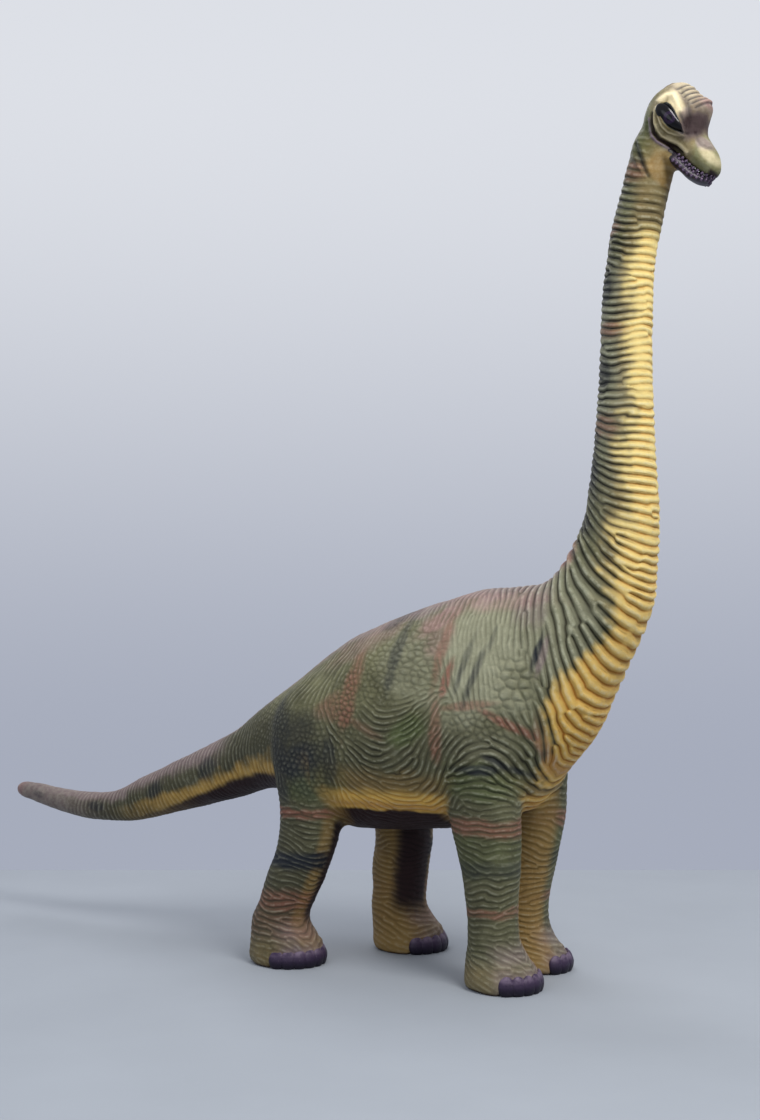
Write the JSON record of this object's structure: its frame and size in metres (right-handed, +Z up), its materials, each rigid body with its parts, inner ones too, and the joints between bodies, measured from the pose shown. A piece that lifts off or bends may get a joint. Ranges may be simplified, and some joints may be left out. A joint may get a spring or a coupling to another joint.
{
  "type": "sauropod dinosaur statue",
  "caption": "Painted long-necked dinosaur statue that stands on its own feet, head high, tail held clear of the floor.",
  "frame": {"origin": "on the floor under the middle of the bounding box", "axes": "+X forward, the way the head faces; +Y to the statue's left; +Z up"},
  "size_m": [2.4205, 0.532, 2.3924],
  "materials": {
    "hide_paint": "green hide with ochre throat and belly, rust and black patches, dark wash in the folds, satin lacquer",
    "head_paint": "mauve and olive paint with pale dry brushing, satin lacquer",
    "jaw_paint": "dark purple lip with small pale lilac teeth",
    "nail_paint": "dusty purple paint, darker between the toes",
    "eye_gloss": "glossy black eye with a violet iris"
  },
  "bodies": {
    "root": {"head": "head_paint", "jaw": "jaw_paint", "eye_right": "eye_gloss", "eye_left": "eye_gloss", "neck_upper": "hide_paint", "neck_middle": "hide_paint", "neck_lower": "hide_paint", "torso": "hide_paint", "tail_base": "hide_paint", "tail_middle": "hide_paint", "tail_tip": "hide_paint", "leg_front_right": "hide_paint", "leg_front_left": "hide_paint", "leg_hind_right": "hide_paint", "leg_hind_left": "hide_paint", "nails_front_right": "nail_paint", "nails_front_left": "nail_paint", "nails_hind_right": "nail_paint", "nails_hind_left": "nail_paint"}
  },
  "joints": []
}
